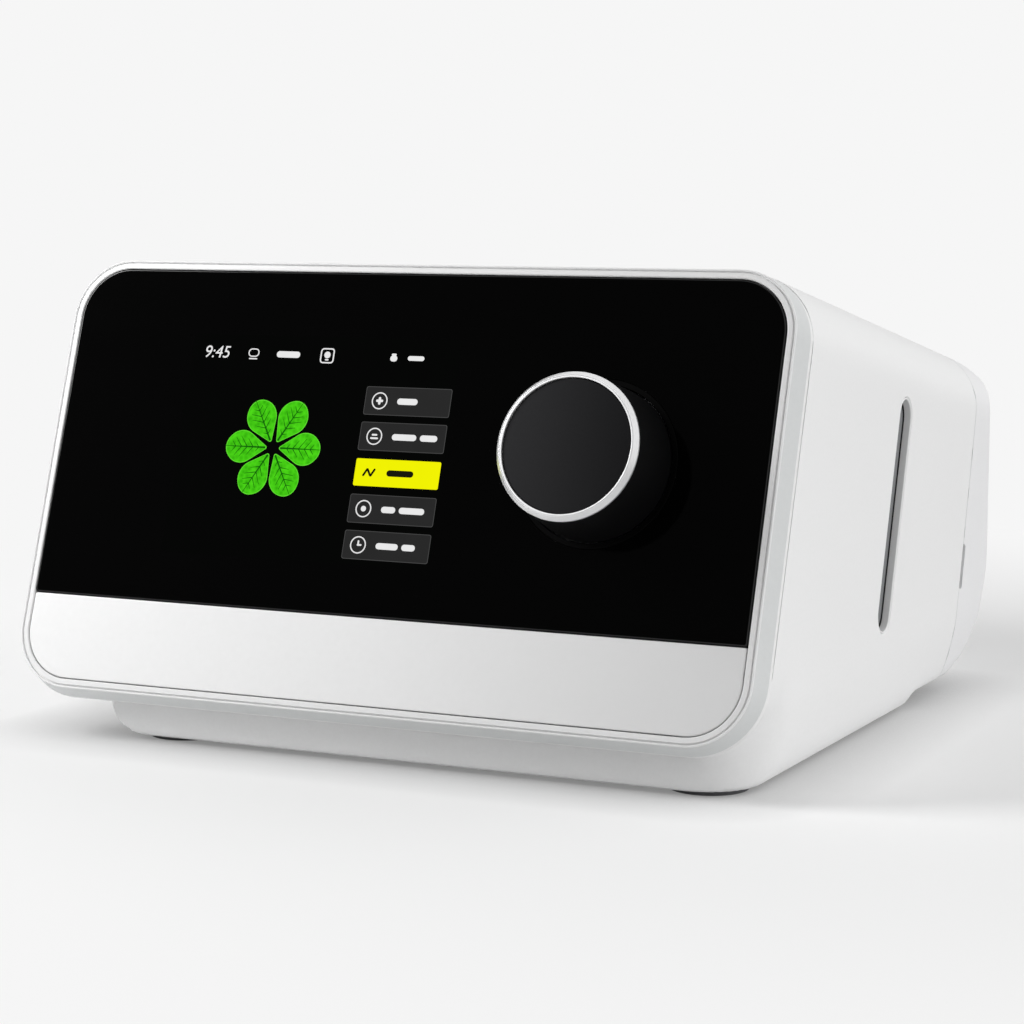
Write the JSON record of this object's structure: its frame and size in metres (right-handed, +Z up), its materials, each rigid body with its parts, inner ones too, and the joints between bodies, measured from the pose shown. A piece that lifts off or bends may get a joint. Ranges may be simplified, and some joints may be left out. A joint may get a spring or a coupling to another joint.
{
  "type": "bedside positive airway pressure machine",
  "caption": "Box-shaped bedside breathing-therapy machine with a leaning black glass front, a menu display, a push-and-turn knob, a top button, a side air outlet and a rear filter.",
  "frame": {"origin": "middle of the bounding box in plan, at the height of the surface that the machine stands on", "axes": "+X to the right of a person who faces the front, +Y to the rear, +Z up"},
  "size_m": [0.208, 0.1914, 0.111],
  "materials": {
    "shell_white": "satin white",
    "cover_white": "satin off-white",
    "bezel_grey": "satin pale grey",
    "slot_grey": "satin mid grey",
    "screen_glass": "gloss black",
    "knob_black": "gloss black",
    "ring_metal": "polished",
    "cap_dark": "satin charcoal",
    "rubber_dark": "matt",
    "board_green": "satin",
    "moulding_grey": "matt",
    "plain_white": "matt",
    "socket_black": "satin",
    "steel": "satin",
    "copper": "varnished wire",
    "foam_grey": "open foam"
  },
  "bodies": {
    "case": {"main_housing": "shell_white", "base_tray": "shell_white", "rear_cover": "cover_white", "front_bezel": "bezel_grey", "display_glass": "screen_glass", "lower_panel": "shell_white", "display_module": "moulding_grey", "front_chassis": "moulding_grey", "front_board": "board_green", "encoder_body": "steel", "knob_collar": "knob_black", "button_switch": "board_green", "side_slot_trim": "slot_grey", "main_board": "board_green", "board_components": "moulding_grey", "speaker": "socket_black", "blower_base": "moulding_grey", "blower_lid": "moulding_grey", "motor_stator": "copper", "motor_can": "steel", "shaft_bearings": "steel", "blower_grommets": "rubber_dark", "blower_screws": "steel", "outlet_sleeve": "rubber_dark", "outlet_port": "cover_white", "flow_sensor": "board_green", "inlet_duct": "plain_white", "muffler_foam": "foam_grey", "power_socket": "socket_black", "card_socket": "steel", "rubber_feet": "rubber_dark", "case_screws": "steel"},
    "knob_plunger": {"push_plunger": "moulding_grey"},
    "knob": {"encoder_shaft": "steel", "knob_body": "knob_black", "knob_ring": "ring_metal", "knob_cap": "cap_dark"},
    "start_key": {"start_button": "cover_white"},
    "rotor": {"impeller": "plain_white", "motor_rotor": "steel"},
    "filter_door": {"filter_cover": "cover_white", "air_filter": "foam_grey"},
    "card": {"memory_card": "socket_black"}
  },
  "joints": [
    {"name": "knob_push", "type": "slide", "parent": "case", "child": "knob_plunger", "axis": [0, 0.95, -0.3123], "range_m": [0, 0.0008], "stiffness_N_per_m": 3000, "springref_m": -0.0003},
    {"name": "knob_turn", "type": "hinge", "parent": "knob_plunger", "child": "knob", "pos_m": [0.0599, -0.07435, 0.06883], "axis": [0, -0.95, 0.3123], "continuous": true},
    {"name": "start_press", "type": "slide", "parent": "case", "child": "start_key", "axis": [0, -0.1736, -0.9848], "range_m": [0, 0.0008], "stiffness_N_per_m": 2000, "springref_m": -0.0003},
    {"name": "impeller_spin", "type": "hinge", "parent": "case", "child": "rotor", "pos_m": [0.022, 0.01172, 0.046], "axis": [0, 0, 1], "continuous": true},
    {"name": "filter_pull", "type": "slide", "parent": "case", "child": "filter_door", "axis": [0, 1, 0], "range_m": [0, 0.03]},
    {"name": "card_slide", "type": "slide", "parent": "case", "child": "card", "axis": [-1, 0, 0], "range_m": [0, 0.03]}
  ]
}
